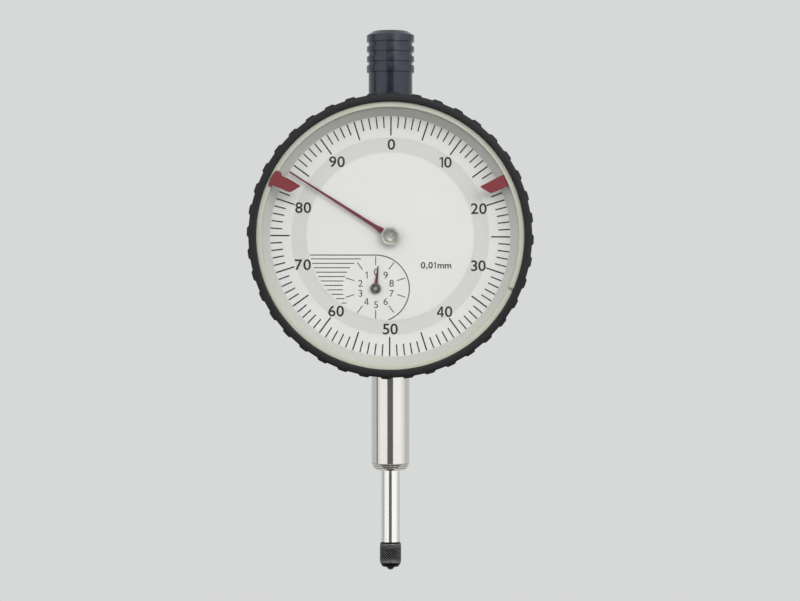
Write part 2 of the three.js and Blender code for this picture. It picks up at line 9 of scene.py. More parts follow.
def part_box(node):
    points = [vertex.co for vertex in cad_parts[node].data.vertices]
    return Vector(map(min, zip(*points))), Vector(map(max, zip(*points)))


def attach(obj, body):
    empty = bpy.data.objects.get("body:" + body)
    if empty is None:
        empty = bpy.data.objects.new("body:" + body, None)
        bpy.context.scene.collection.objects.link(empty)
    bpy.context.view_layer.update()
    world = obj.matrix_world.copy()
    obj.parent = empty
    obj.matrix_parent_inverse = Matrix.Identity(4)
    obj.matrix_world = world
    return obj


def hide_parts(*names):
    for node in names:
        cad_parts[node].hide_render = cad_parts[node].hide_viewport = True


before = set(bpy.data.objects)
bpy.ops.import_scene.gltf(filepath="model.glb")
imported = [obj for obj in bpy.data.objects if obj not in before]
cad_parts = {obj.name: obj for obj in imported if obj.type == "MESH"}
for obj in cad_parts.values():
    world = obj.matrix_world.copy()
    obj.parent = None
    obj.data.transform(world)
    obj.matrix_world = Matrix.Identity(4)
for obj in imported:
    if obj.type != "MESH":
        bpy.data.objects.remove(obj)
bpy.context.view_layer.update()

# Lengths are in millimetres here and become metres when a piece is made.
MM = 0.001


def box_mm(node):
    low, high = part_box(node)
    return low / MM, high / MM


# ---------------------------------------------------------------- where the frame's parts are

crystal_low, crystal_high = box_mm("crystal")
DIAL_X = (crystal_low.x + crystal_high.x) / 2
DIAL_Z = (crystal_low.z + crystal_high.z) / 2
counter_low, counter_high = box_mm("counter_hand_hub")
COUNTER_X = (counter_low.x + counter_high.x) / 2
COUNTER_Z = (counter_low.z + counter_high.z) / 2
FACE_Y = box_mm("scale_ring")[0].y
PRINT_FRONT = FACE_Y - 0.02
PRINT_REAR = FACE_Y + 0.02


def polar(radius, degrees, x=DIAL_X, z=DIAL_Z):
    """A point in the dial plane, at an angle measured clockwise from the top."""
    a = math.radians(degrees)
    return x + radius * math.sin(a), z + radius * math.cos(a)


def arc(radius, start, end, steps, x=DIAL_X, z=DIAL_Z):
    return [polar(radius, start + (end - start) * i / steps, x, z) for i in range(steps + 1)]


def circle(radius, steps, x=DIAL_X, z=DIAL_Z):
    return arc(radius, 0, 360 - 360 / steps, steps - 1, x, z)


def turned(points, degrees, x=DIAL_X, z=DIAL_Z):
    """Points about (0, 0), turned clockwise and carried to (x, z)."""
    a = math.radians(degrees)
    c, s = math.cos(a), math.sin(a)
    return [(x + px * c + pz * s, z - px * s + pz * c) for px, pz in points]


def level_ring(radius, z, steps):
    """A ring of points about the spindle's axis, at one height."""
    angles = [2 * math.pi * i / steps for i in range(steps)]
    return [(radius * math.cos(a), radius * math.sin(a), z) for a in angles]


def standing(section, degrees):
    """A (radius, y) section stood on the dial plane, at an angle clockwise from the top."""
    points = []
    for radius, y in section:
        x, z = polar(radius, degrees)
        points.append((x, y, z))
    return points


# ---------------------------------------------------------------- outlines

def rounded(points, radius, steps=3):
    """A closed outline with its corners rounded. radius is one number, or one for each corner."""
    radii = [radius] * len(points) if isinstance(radius, (int, float)) else radius
    out = []
    for i, point in enumerate(points):
        here = Vector(point)
        before = Vector(points[i - 1]) - here
        after = Vector(points[(i + 1) % len(points)]) - here
        cut = min(radii[i], 0.45 * before.length, 0.45 * after.length)
        if cut < 1e-4:
            out.append((here.x, here.y))
            continue
        a = here + before.normalized() * cut
        b = here + after.normalized() * cut
        for k in range(steps + 1):
            t = k / steps
            p = a * (1 - t) ** 2 + here * 2 * t * (1 - t) + b * t * t
            out.append((p.x, p.y))
    return out


def inset(points, distance):
    """A closed outline moved inwards, whichever way round it runs."""
    area = sum(
        p[0] * q[1] - q[0] * p[1] for p, q in zip(points, points[1:] + points[:1], strict=True)
    )
    side = distance if area > 0 else -distance
    out = []
    for i, point in enumerate(points):
        here = Vector(point)
        before = (here - Vector(points[i - 1])).normalized()
        after = (Vector(points[(i + 1) % len(points)]) - here).normalized()
        normal = Vector((-before.y - after.y, before.x + after.x))
        if normal.length < 1e-6:
            normal = Vector((-before.y, before.x))
        normal.normalize()
        lean = max(0.5, normal.dot(Vector((-before.y, before.x))))
        p = here + normal * side / lean
        out.append((p.x, p.y))
    return out


# ---------------------------------------------------------------- solids

def loft(shape, rings, around=True, ends="open"):
    """Skins rings of points. A ring may be one point, which closes the skin there.

    ends is open, capped or joined, and around says whether each ring closes on itself.
    """
    rows = [[shape.verts.new(p) for p in ring] for ring in rings]
    pairs = list(zip(rows, rows[1:]))
    if ends == "joined":
        pairs.append((rows[-1], rows[0]))
    for a, b in pairs:
        count = max(len(a), len(b))
        for i in range(count if around else count - 1):
            j = (i + 1) % count
            corners = [a[i % len(a)], a[j % len(a)], b[j % len(b)], b[i % len(b)]]
            corners = [v for k, v in enumerate(corners) if v not in corners[:k]]
            if len(corners) > 2:
                shape.faces.new(corners)
    if ends == "capped":
        shape.faces.new(rows[0])
        shape.faces.new(rows[-1])


def lathe(shape, profile, steps, x=DIAL_X, z=DIAL_Z):
    """Turns a closed (radius, y) profile about an axis along Y."""
    rings = []
    for radius, y in profile:
        if radius < 1e-6:
            rings.append([(x, y, z)])
        else:
            rings.append([(px, y, pz) for px, pz in circle(radius, steps, x, z)])
    on_axis = profile[0][0] < 1e-6 and profile[-1][0] < 1e-6
    loft(shape, rings, ends="open" if on_axis else "joined")


def upright(shape, profile, steps):
    """Turns a closed (radius, z) profile about the spindle's axis."""
    rings = []
    for radius, z in profile:
        if radius < 1e-6:
            rings.append([(0, 0, z)])
        else:
            rings.append(level_ring(radius, z, steps))
    on_axis = profile[0][0] < 1e-6 and profile[-1][0] < 1e-6
    loft(shape, rings, ends="open" if on_axis else "joined")


def prism(shape, outline, front, rear, holes=(), bevel=0.0):
    """A flat piece in the dial plane, with its front edge bevelled."""
    loops = [outline, *holes]
    layers = [(front, loops), (rear, loops)]
    if bevel:
        small = [inset(outline, bevel)] + [inset(h, -bevel) for h in holes]
        layers = [(front, small), (front + bevel, loops), (rear, loops)]
    rows = [
        [[shape.verts.new((px, y, pz)) for px, pz in loop] for loop in level]
        for y, level in layers
    ]
    for near, far in zip(rows, rows[1:]):
        for a, b in zip(near, far, strict=True):
            for i in range(len(a)):
                j = (i + 1) % len(a)
                shape.faces.new([a[i], a[j], b[j], b[i]])
    for level, ring in ((layers[0][1], rows[0]), (layers[-1][1], rows[-1])):
        flat = [v for loop in ring for v in loop]
        triangles = tessellate_polygon([[Vector((*p, 0)) for p in loop] for loop in level])
        for tri in triangles:
            shape.faces.new([flat[k] for k in tri])


def stroke(shape, start, end, width):
    """A straight printed line."""
    a, b = Vector(start), Vector(end)
    side = Vector((-(b - a).y, (b - a).x)).normalized() * width / 2
    corners = [a - side, b - side, b + side, a + side]
    prism(shape, [(c.x, c.y) for c in corners], PRINT_FRONT, PRINT_REAR)


def curved_stroke(shape, points, width):
    """A printed line along a path."""
    left, right = [], []
    for i, point in enumerate(points):
        before = Vector(points[max(i - 1, 0)])
        after = Vector(points[min(i + 1, len(points) - 1)])
        along = (after - before).normalized()
        side = Vector((-along.y, along.x)) * width / 2
        left.append(Vector(point) + side)
        right.append(Vector(point) - side)
    rings = []
    for a, b in zip(left, right, strict=True):
        front = [(a.x, PRINT_FRONT, a.y), (b.x, PRINT_FRONT, b.y)]
        rings.append([*front, (b.x, PRINT_REAR, b.y), (a.x, PRINT_REAR, a.y)])
    loft(shape, rings, ends="capped")


def placed(name, data):
    """A new object in the scene."""
    o = bpy.data.objects.new(name, data)
    bpy.context.scene.collection.objects.link(o)
    return o


def evaluated_mesh(o):
    """A new mesh of an object as its curve or its modifiers shape it."""
    bpy.context.view_layer.update()
    return bpy.data.meshes.new_from_object(o.evaluated_get(bpy.context.evaluated_depsgraph_get()))


def glyph(character, weight):
    """A flat mesh of one character in font units, with its foot line at Y = 0."""
    curve = bpy.data.curves.new("glyph", "FONT")
    curve.body = character
    curve.size = 1.0
    curve.offset = weight
    curve.extrude = 0.01
    curve.resolution_u = 6
    writer = placed("glyph", curve)
    mesh = evaluated_mesh(writer)
    bpy.data.objects.remove(writer)
    bpy.data.curves.remove(curve)
    return mesh


sample = glyph("0", 0.0)
DIGIT_FOOT = min(v.co.y for v in sample.vertices)
DIGIT_HEIGHT = max(v.co.y for v in sample.vertices) - DIGIT_FOOT
bpy.data.meshes.remove(sample)


def flagged_one(shape, left, middle, height, bar):
    """The figure 1, a bar with a flag. Returns its width."""
    flag = 0.2 * height
    foot, top = middle - height / 2, middle + height / 2
    outline = [
        (left + flag, foot),
        (left + flag + bar, foot),
        (left + flag + bar, top),
        (left + flag + 0.12 * bar, top),
        (left, top - 0.14 * height),
        (left + 0.16 * flag, top - 0.25 * height),
        (left + flag, top - 0.155 * height),
    ]
    prism(shape, outline, PRINT_FRONT, PRINT_REAR)
    return flag + bar


def open_four(shape, left, middle, height, bar):
    """The figure 4, with an open triangle. Returns its width."""
    foot = middle - height / 2
    upright_left, upright_right = 0.4 * height, 0.4 * height + bar
    low, high = 0.21 * height, 0.21 * height + 0.8 * bar
    right = upright_right + 0.1 * height
    corners = [
        (upright_left, 0),
        (upright_right, 0),
        (upright_right, low),
        (right, low),
        (right, high),
        (upright_right, high),
        (upright_right, height),
        (upright_left, height),
        (0, high + 0.03 * height),
        (0, low),
        (upright_left, low),
    ]
    gap = [(upright_left, high), (1.15 * bar, high), (upright_left, 0.93 * height - bar)]
    outline, hole = [[(left + x, foot + z) for x, z in loop] for loop in (corners, gap)]
    prism(shape, outline, PRINT_FRONT, PRINT_REAR, [hole])
    return right


def label(shape, text, height, x, z, weight, squeeze, gap=0.2, bar=0.16):
    """Characters printed on the dial, centred on a point. gap and bar are shares of the height."""
    scale = height / DIGIT_HEIGHT
    first = len(shape.verts)
    cursor = 0.0
    for character in text:
        if character == " ":
            cursor += 0.16 * height
            continue
        if character in "14":
            draw = flagged_one if character == "1" else open_four
            cursor += draw(shape, cursor, z, height, bar * height) + gap * height
            continue
        mesh = glyph(character, weight)
        left = min(v.co.x for v in mesh.vertices)
        width = max(v.co.x for v in mesh.vertices) - left
        start = len(shape.verts)
        shape.from_mesh(mesh)
        shape.verts.ensure_lookup_table()
        for v in shape.verts[start:]:
            across = cursor + (v.co.x - left) * scale * squeeze
            up = z + (v.co.y - DIGIT_FOOT) * scale - height / 2
            v.co = Vector((across, PRINT_FRONT if v.co.z > 0 else PRINT_REAR, up))
        bpy.data.meshes.remove(mesh)
        cursor += width * scale * squeeze + gap * height
    shape.verts.ensure_lookup_table()
    for v in shape.verts[first:]:
        v.co.x += x - (cursor - gap * height) / 2


def piece(name, shape, body, material, replaces=(), sharp=35.0):
    """Turns a shape into a piece that rides on a body."""
    bmesh.ops.remove_doubles(shape, verts=shape.verts, dist=1e-5)
    bmesh.ops.recalc_face_normals(shape, faces=shape.faces)
    bmesh.ops.scale(shape, vec=(MM, MM, MM), verts=shape.verts)
    mesh = bpy.data.meshes.new(name)
    shape.to_mesh(mesh)
    shape.free()
    mesh.materials.append(material)
    mesh.polygons.foreach_set("use_smooth", [True] * len(mesh.polygons))
    mesh.set_sharp_from_angle(angle=math.radians(sharp))
    o = placed(name, mesh)
    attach(o, body)
    if replaces:
        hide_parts(*replaces)


# ---------------------------------------------------------------- materials

def linear(red, green, blue):
    """A display colour, 0 to 255, as the linear colour that shaders take."""
    out = []
    for c in (red, green, blue):
        c /= 255
        out.append(c / 12.92 if c <= 0.04045 else ((c + 0.055) / 1.055) ** 2.4)
    return (*out, 1.0)


class Look:
    """A Principled material built up from procedural textures in object space."""

    def __init__(self, name, roughness, metallic=0.0, specular=0.5):
        self.material = bpy.data.materials.new(name)
        self.material.use_nodes = True
        self.tree = self.material.node_tree
        self.shader = self.tree.nodes["Principled BSDF"]
        self.shader.inputs["Roughness"].default_value = roughness
        self.shader.inputs["Metallic"].default_value = metallic
        self.shader.inputs["Specular IOR Level"].default_value = specular
        self.place = self.node("ShaderNodeTexCoord").outputs["Object"]

    def node(self, kind, **settings):
        made = self.tree.nodes.new(kind)
        for key, value in settings.items():
            setattr(made, key, value)
        return made

    def link(self, source, target):
        self.tree.links.new(source, target)

    def stretched(self, scale):
        mapping = self.node("ShaderNodeMapping")
        mapping.inputs["Scale"].default_value = scale
        self.link(self.place, mapping.inputs["Vector"])
        return mapping.outputs["Vector"]

    def noise(self, scale, detail=3.0, place=None, roughness=0.5):
        made = self.node("ShaderNodeTexNoise")
        made.inputs["Scale"].default_value = scale
        made.inputs["Detail"].default_value = detail
        made.inputs["Roughness"].default_value = roughness
        self.link(place or self.place, made.inputs["Vector"])
        return made.outputs["Fac"]

    def remap(self, value, low, high, from_low=0.3, from_high=0.7):
        made = self.node("ShaderNodeMapRange")
        made.inputs["From Min"].default_value = from_low
        made.inputs["From Max"].default_value = from_high
        made.inputs["To Min"].default_value = low
        made.inputs["To Max"].default_value = high
        self.link(value, made.inputs["Value"])
        return made.outputs["Result"]

    def ramp(self, value, stops):
        made = self.node("ShaderNodeValToRGB")
        elements = made.color_ramp.elements
        while len(elements) < len(stops):
            elements.new(0.5)
        for element, (position, colour) in zip(elements, stops, strict=True):
            element.position = position
            element.color = colour
        self.link(value, made.inputs["Fac"])
        return made.outputs["Color"]

    def mix(self, factor, a, b, blend="MIX"):
        made = self.node("ShaderNodeMix", data_type="RGBA", blend_type=blend)
        if isinstance(factor, float):
            made.inputs[0].default_value = factor
        else:
            self.link(factor, made.inputs[0])
        for socket, value in ((made.inputs[6], a), (made.inputs[7], b)):
            if isinstance(value, tuple):
                socket.default_value = value
            else:
                self.link(value, socket)
        return made.outputs[2]

    def reach(self, centre, across):
        """Distance in millimetres from an axis through a point. across is 0 along the axis."""
        shift = self.node("ShaderNodeVectorMath", operation="SUBTRACT")
        self.link(self.place, shift.inputs[0])
        shift.inputs[1].default_value = [c * MM for c in centre]
        flat = self.node("ShaderNodeVectorMath", operation="MULTIPLY")
        self.link(shift.outputs[0], flat.inputs[0])
        flat.inputs[1].default_value = [c / MM for c in across]
        length = self.node("ShaderNodeVectorMath", operation="LENGTH")
        self.link(flat.outputs[0], length.inputs[0])
        return length.outputs["Value"]

    def dial_radius(self):
        return self.reach((DIAL_X, 0, DIAL_Z), (1, 0, 1))

    def colour(self, source):
        self.link(source, self.shader.inputs["Base Color"])

    def rough(self, source):
        self.link(source, self.shader.inputs["Roughness"])

    def bump(self, height, distance):
        made = self.node("ShaderNodeBump")
        made.inputs["Distance"].default_value = distance
        made.inputs["Strength"].default_value = 1.0
        self.link(height, made.inputs["Height"])
        self.link(made.outputs["Normal"], self.shader.inputs["Normal"])


def shade(colour, factor):
    """A colour made lighter or darker."""
    return (*(min(1.0, c * factor) for c in colour[:3]), 1.0)


def shades(colour, spread, low=0.3, high=0.7):
    """Ramp stops from a darker to a lighter shade of a colour."""
    return [(low, shade(colour, 1 - spread)), (high, shade(colour, 1 + spread))]


def moulded(name, colour, roughness, grain, depth, spread=0.14, specular=0.5):
    """Moulded plastic or paint: fine grain in the surface, and slow drifts of tone and gloss."""
    look = Look(name, roughness, specular=specular)
    drift = look.noise(90.0, 4.0)
    speck = look.noise(grain, 2.0)
    slow = look.ramp(drift, shades(colour, spread))
    fine = look.ramp(speck, shades(colour, spread, 0.35, 0.65))
    look.colour(look.mix(0.5, slow, fine))
    look.rough(look.remap(look.noise(grain * 0.4, 3.0), roughness - 0.07, roughness + 0.07))
    look.bump(speck, depth)
    return look.material


def machined(name, colour, roughness, axis, lines, depth, spread=0.05):
    """Ground or turned metal: fine lines round the Z or the Y axis, or a grain with axis XYZ."""
    look = Look(name, roughness, metallic=1.0)
    if axis == "Z":
        scratches = look.noise(1.0, 5.0, look.stretched((60, 60, lines)), 0.65)
    elif axis == "Y":
        ring = look.node("ShaderNodeCombineXYZ")
        look.link(look.dial_radius(), ring.inputs["X"])
        scratches = look.noise(lines, 4.0, ring.outputs["Vector"], 0.6)
    else:
        scratches = look.noise(lines, 3.0)
    tone = look.ramp(scratches, shades(colour, spread))
    cloud = look.ramp(look.noise(160.0, 3.0), shades(colour, 0.03))
    look.colour(look.mix(0.4, tone, cloud))
    look.rough(look.remap(scratches, roughness * 0.75, roughness * 1.3))
    look.bump(scratches, depth)
    return look.material


def worn_knurl(name):
    """Blackened steel, with painted highlights: the peaks that stand furthest from the spindle's axis are
    painted brighter, as glints, and made glossier.
    """
    look = Look(name, 0.34, metallic=1.0)
    # Painted highlight: the outermost peaks of the knurl are painted brighter, as if they caught the
    # light.
    peak_glint = look.remap(look.reach((0, 0, 0), (1, 1, 0)), 0.0, 1.0, 2.08, 2.24)
    tone = look.ramp(peak_glint, [(0.15, (0.014, 0.0145, 0.016, 1)), (0.95, (0.19, 0.19, 0.195, 1))])
    patch = look.ramp(look.noise(2500.0, 3.0), [(0.3, (0.55, 0.55, 0.55, 1)), (0.7, (1, 1, 1, 1))])
    look.colour(look.mix(1.0, tone, patch, "MULTIPLY"))
    look.rough(look.remap(peak_glint, 0.5, 0.28))
    look.bump(look.noise(6000.0, 3.0), 0.000004)
    return look.material


def printed(name, colour):
    """Pad-printed ink."""
    look = Look(name, 0.45, specular=0.35)
    body = look.noise(5000.0, 3.0)
    look.colour(look.ramp(body, [(0.3, shade(colour, 0.8)), (0.75, shade(colour, 1.25))]))
    look.rough(look.remap(body, 0.38, 0.55))
    look.bump(body, 0.000004)
    return look.material


def dial_face(name):
    """White lacquered dial with a pale grey band under the numbers."""
    look = Look(name, 0.5, specular=0.4)
    speck = look.noise(9000.0, 2.0)
    cloud = look.noise(60.0, 3.0)
    white = look.ramp(cloud, [(0.3, shade(DIAL_WHITE, 0.985)), (0.7, shade(DIAL_WHITE, 1.01))])
    radius = look.dial_radius()
    band = look.node("ShaderNodeMath", operation="MULTIPLY")
    look.link(look.remap(radius, 0.0, 1.0, *BAND_INNER), band.inputs[0])
    look.link(look.remap(radius, 1.0, 0.0, *BAND_OUTER), band.inputs[1])
    look.colour(look.mix(band.outputs[0], white, look.mix(1.0, white, BAND_TINT, "MULTIPLY")))
    look.rough(look.remap(speck, 0.44, 0.58))
    look.bump(speck, 0.000003)
    return look.material


def clear_glass(name):
    """Clear crystal, which lets the light of the lamps and of the studio straight through."""
    look = Look(name, 0.02)
    look.shader.inputs["Transmission Weight"].default_value = 1.0
    look.shader.inputs["IOR"].default_value = 1.49
    smear = look.noise(120.0, 4.0)
    look.colour(look.ramp(smear, [(0.3, (0.985, 0.99, 0.985, 1)), (0.7, (1, 1, 1, 1))]))
    look.rough(look.remap(smear, 0.0, 0.03))
    path = look.node("ShaderNodeLightPath")
    through = look.node("ShaderNodeBsdfTransparent")
    soft = look.node("ShaderNodeMixShader")
    look.link(path.outputs["Is Diffuse Ray"], soft.inputs[0])
    look.link(look.shader.outputs[0], soft.inputs[1])
    look.link(through.outputs[0], soft.inputs[2])
    lamp = look.node("ShaderNodeMixShader")
    look.link(path.outputs["Is Shadow Ray"], lamp.inputs[0])
    look.link(soft.outputs[0], lamp.inputs[1])
    look.link(through.outputs[0], lamp.inputs[2])
    output = look.tree.nodes["Material Output"]
    look.link(lamp.outputs[0], output.inputs["Surface"])
    return look.material


DIAL_WHITE = (0.79, 0.795, 0.785, 1)
BAND_TINT = (0.86, 0.86, 0.85, 1)
# The radii over which the grey band fades in and out.
BAND_INNER = (17.1, 17.5)
BAND_OUTER = (20.35, 20.6)
CAP_SHEEN = (0.88, 0.93, 1.0, 1)

BEZEL_BLACK = moulded("bezel_black", (0.0088, 0.0093, 0.0110, 1), 0.46, 2600.0, 0.00004, specular=0.3)
CASE_PAINT = moulded("case_paint", (0.03, 0.032, 0.037, 1), 0.38, 1100.0, 0.00005)
CAP_BLACK = moulded("cap_black", (0.0115, 0.0150, 0.027, 1), 0.22, 1400.0, 0.000002, specular=0.61)
CAP_BLACK.node_tree.nodes["Principled BSDF"].inputs["Specular Tint"].default_value = CAP_SHEEN
GASKET = moulded("gasket_rubber", (0.012, 0.012, 0.012, 1), 0.8, 1800.0, 0.00002)
FLANGE = moulded("flange_white", (0.58, 0.575, 0.54, 1), 0.45, 3000.0, 0.000006, 0.02)
# The retaining ring is a real part, but its cream colour is partly painted reflection of the crystal's
# moulded wall.
CREAM_RING_WITH_REFLECTION = moulded("cream_ring_with_reflection", (0.56, 0.568, 0.483, 1), 0.4, 2500.0, 0.000008, 0.05)
HAND_RED = moulded("hand_red", (0.13, 0.008, 0.02, 1), 0.42, 4000.0, 0.000006, 0.1)
MARKER_RED = moulded("marker_red", (0.20, 0.022, 0.031, 1), 0.36, 3500.0, 0.000008, 0.1)
INK = printed("dial_ink", (0.012, 0.012, 0.0135, 1))
GREY_INK = printed("grey_ink", (0.04, 0.04, 0.043, 1))
DIAL = dial_face("dial_lacquer")
GLASS = clear_glass("crystal_clear")

STEM_STEEL = machined("stem_steel", (0.66, 0.645, 0.62, 1), 0.11, "Z", 9000.0, 0.0000015)
SPINDLE_STEEL = machined("spindle_steel", (0.745, 0.74, 0.725, 1), 0.1, "Z", 12000.0, 0.000001)
SATIN_STEEL = machined("satin_steel", (0.55, 0.55, 0.54, 1), 0.3, "Z", 7000.0, 0.000002)
TURNED_STEEL = machined("turned_steel", (0.62, 0.61, 0.57, 1), 0.22, "Y", 9.0, 0.000008)
SCREW_STEEL = machined("screw_steel", (0.6, 0.6, 0.6, 1), 0.25, "XYZ", 5000.0, 0.000002)
HARD_BLACK = machined("black_oxide", (0.062, 0.063, 0.066, 1), 0.3, "XYZ", 3500.0, 0.000008, 0.8)
KNURLED = worn_knurl("knurled_black")
GUNMETAL = machined("gunmetal", (0.15, 0.158, 0.148, 1), 0.35, "XYZ", 5000.0, 0.000003, 0.12)
BRASS = machined("brass", (0.60, 0.42, 0.16, 1), 0.3, "XYZ", 3000.0, 0.000003, 0.08)
BRONZE = machined("bronze", (0.46, 0.26, 0.12, 1), 0.35, "Z", 6000.0, 0.000003, 0.08)
SPRING_STEEL = machined("spring_steel", (0.32, 0.35, 0.40, 1), 0.25, "XYZ", 6000.0, 0.000002)

# ---------------------------------------------------------------- bezel

bezel_low, bezel_high = box_mm("bezel_ring")
BEZEL_TIP = (bezel_high.x - bezel_low.x) / 2
BEZEL_VALLEY = BEZEL_TIP - 0.35
BEZEL_BORE = 27.65
BEZEL_NECK = 26.75
BEZEL_LEDGE = -8.35
LOBE_COUNT = 40
LOBE_PITCH = 360 / LOBE_COUNT
LOBE_OFFSET = 1.65
LOBE_HALF_TOP = 1.5
LOBE_HALF_BASE = 2.45


def bezel_radius(from_lobe):
    """The rim's radius at an angle from the middle of a lobe."""
    t = (abs(from_lobe) - LOBE_HALF_TOP) / (LOBE_HALF_BASE - LOBE_HALF_TOP)
    t = max(0.0, min(1.0, t))
    t = t * t * (3 - 2 * t)
    return BEZEL_TIP + (BEZEL_VALLEY - BEZEL_TIP) * t


def bezel_section(rim):
    """The ring's section where its rim has this radius."""
    front, rear = bezel_low.y, bezel_high.y
    shoulder = BEZEL_VALLEY - 0.3
    rim_front = front + (rim - shoulder) * 0.92
    rim_rear = rear - 0.6 + (BEZEL_TIP + 0.2 - rim) * 0.78
    return [
        (BEZEL_BORE, front),
        (shoulder, front),
        (rim, rim_front),
        (rim, rim_rear),
        (BEZEL_VALLEY - 0.2, rear),
        (BEZEL_NECK, rear),
        (BEZEL_NECK, BEZEL_LEDGE),
        (BEZEL_BORE, BEZEL_LEDGE),
    ]


def make_bezel():
    shape = bmesh.new()
    side = [0.7, LOBE_HALF_TOP, 1.65, 1.85, 2.05, 2.25, LOBE_HALF_BASE, 3.4]
    stops = [-stop for stop in reversed(side)] + [0] + side + [LOBE_PITCH / 2]
    sections = []
    for lobe in range(LOBE_COUNT):
        for stop in stops:
            section = rounded(bezel_section(bezel_radius(stop)), 0.16)
            sections.append(standing(section, LOBE_OFFSET + lobe * LOBE_PITCH + stop))
    loft(shape, sections, ends="joined")
    piece("bezel_body", shape, "bezel", BEZEL_BLACK, ["bezel_ring"], 50)


def make_snap_ring():
    """The split ring that holds the crystal down. Its cream colour is partly painted reflection, standing
    in for the light given back by the crystal's moulded wall.
    """
    low, high = box_mm("crystal_snap_ring")
    inner, outer = 26.5, 27.57
    gap_at, gap = 113.8, 1.2
    shape = bmesh.new()
    outline = [(inner, low.y), (outer, low.y), (outer, high.y), (inner, high.y)]
    section = rounded(outline, [0.13, 0.1, 0.05, 0.05], 4)
    steps = 240
    angles = [gap_at + gap / 2 + (360 - gap) * i / steps for i in range(steps + 1)]
    loft(shape, [standing(section, angle) for angle in angles], ends="capped")
    piece("crystal_retaining_ring", shape, "bezel", CREAM_RING_WITH_REFLECTION, ["crystal_snap_ring"])


def make_crystal():
    low, high = crystal_low, crystal_high
    radius = (high.x - low.x) / 2
    chamfer, small_chamfer = 0.25, 0.05
    shape = bmesh.new()
    section = [
        (0, low.y),
        (radius - chamfer, low.y),
        (radius, low.y + chamfer),
        (radius, high.y - small_chamfer),
        (radius - small_chamfer, high.y),
        (0, high.y),
    ]
    lathe(shape, section, 200)
    piece("crystal_disc", shape, "bezel", GLASS, ["crystal"], 20)


def make_flange():
    low, high = box_mm("dial_flange_ring")
    outer = (high.x - low.x) / 2
    top, foot = 26.4, 24.87
    shape = bmesh.new()
    section = [(top, low.y), (outer, low.y), (outer, high.y), (foot, high.y)]
    lathe(shape, rounded(section, [0.12, 0.05, 0.05, 0.08]), 240)
    piece("dial_flange", shape, "bezel", FLANGE, ["dial_flange_ring"])


# ---------------------------------------------------------------- dial

SPLIT_RADIUS = 17.8
SCALE_TURN = 0.33
TICK_OUTER = 24.8
LONG_TICK_INNER, LONG_TICK_WIDTH = 20.85, 0.29
SHORT_TICK_INNER, SHORT_TICK_WIDTH = 22.4, 0.26
NUMBER_RADIUS, NUMBER_HEIGHT = 19.1, 2.18
COUNTER_TICK_INNER, COUNTER_TICK_OUTER = 4.65, 6.45
COUNTER_NUMBER_RADIUS, COUNTER_NUMBER_HEIGHT = 3.38, 1.42
COUNTER_FRAME_RADIUS = 6.97
UNIT_HEIGHT = 1.3


def make_scale_ring():
    low, high = box_mm("scale_ring")
    outer = (high.x - low.x) / 2
    shape = bmesh.new()
    section = [(SPLIT_RADIUS, low.y), (outer, low.y), (outer, high.y), (SPLIT_RADIUS, high.y)]
    lathe(shape, section, 200)
    piece("scale_ring_plate", shape, "bezel", DIAL, ["scale_ring"])


def make_scale_print():
    shape = bmesh.new()
    for i in range(100):
        angle = 3.6 * i + SCALE_TURN
        inner = SHORT_TICK_INNER if i % 5 else LONG_TICK_INNER
        width = SHORT_TICK_WIDTH if i % 5 else LONG_TICK_WIDTH
        stroke(shape, polar(inner, angle), polar(TICK_OUTER, angle), width)
    for i in range(10):
        x, z = polar(NUMBER_RADIUS, 36 * i + SCALE_TURN)
        label(shape, str(i * 10), NUMBER_HEIGHT, x + 0.1, z - 0.1, 0.013, 1.07, 0.09)
    piece("scale_print", shape, "bezel", INK)


def make_dial_disc():
    low, high = box_mm("dial_centre_disc")
    shape = bmesh.new()
    holes = [circle(1.3, 32), circle(0.9, 32, COUNTER_X, COUNTER_Z)]
    prism(shape, circle(SPLIT_RADIUS - 0.01, 200), low.y, high.y, holes)
    piece("dial_disc", shape, "case", DIAL, ["dial_centre_disc"], 30)


def make_counter_print():
    figures = bmesh.new()
    for i in range(10):
        near = polar(COUNTER_TICK_INNER, 36 * i, COUNTER_X, COUNTER_Z + 0.15)
        far = polar(COUNTER_TICK_OUTER, 36 * i, COUNTER_X, COUNTER_Z + 0.15)
        stroke(figures, near, far, 0.18)
        x, z = polar(COUNTER_NUMBER_RADIUS, -36 * i, COUNTER_X + 0.08, COUNTER_Z)
        label(figures, str(i), COUNTER_NUMBER_HEIGHT, x, z, 0.0, 1.05, bar=0.13)
    piece("counter_print", figures, "case", GREY_INK)

    border = bmesh.new()
    middle = COUNTER_Z - 0.08
    top = middle + COUNTER_FRAME_RADIUS
    left = -math.sqrt(BAND_INNER[0] ** 2 - (top - DIAL_Z) ** 2)
    path = [(left, top), (COUNTER_X - 2, top)]
    path += arc(COUNTER_FRAME_RADIUS, 0, 157.5, 60, COUNTER_X, middle)
    curved_stroke(border, path, 0.21)
    for i in range(11):
        z = top - 0.8 - 0.914 * i
        left = DIAL_X - math.sqrt(BAND_INNER[0] ** 2 - (z - DIAL_Z) ** 2)
        right = COUNTER_X - math.sqrt(6.8**2 - (z - COUNTER_Z) ** 2)
        stroke(border, (left, z), (right, z), 0.19)
    piece("counter_frame_print", border, "case", GREY_INK)

    unit = bmesh.new()
    label(unit, "0,01 mm", UNIT_HEIGHT, DIAL_X + 9.46, DIAL_Z - 6.0, 0.018, 1.05, 0.12)
    piece("unit_print", unit, "case", INK)


# ---------------------------------------------------------------- markers

LEFT_MARKER_AT = -63.9
RIGHT_MARKER_AT = 64.3


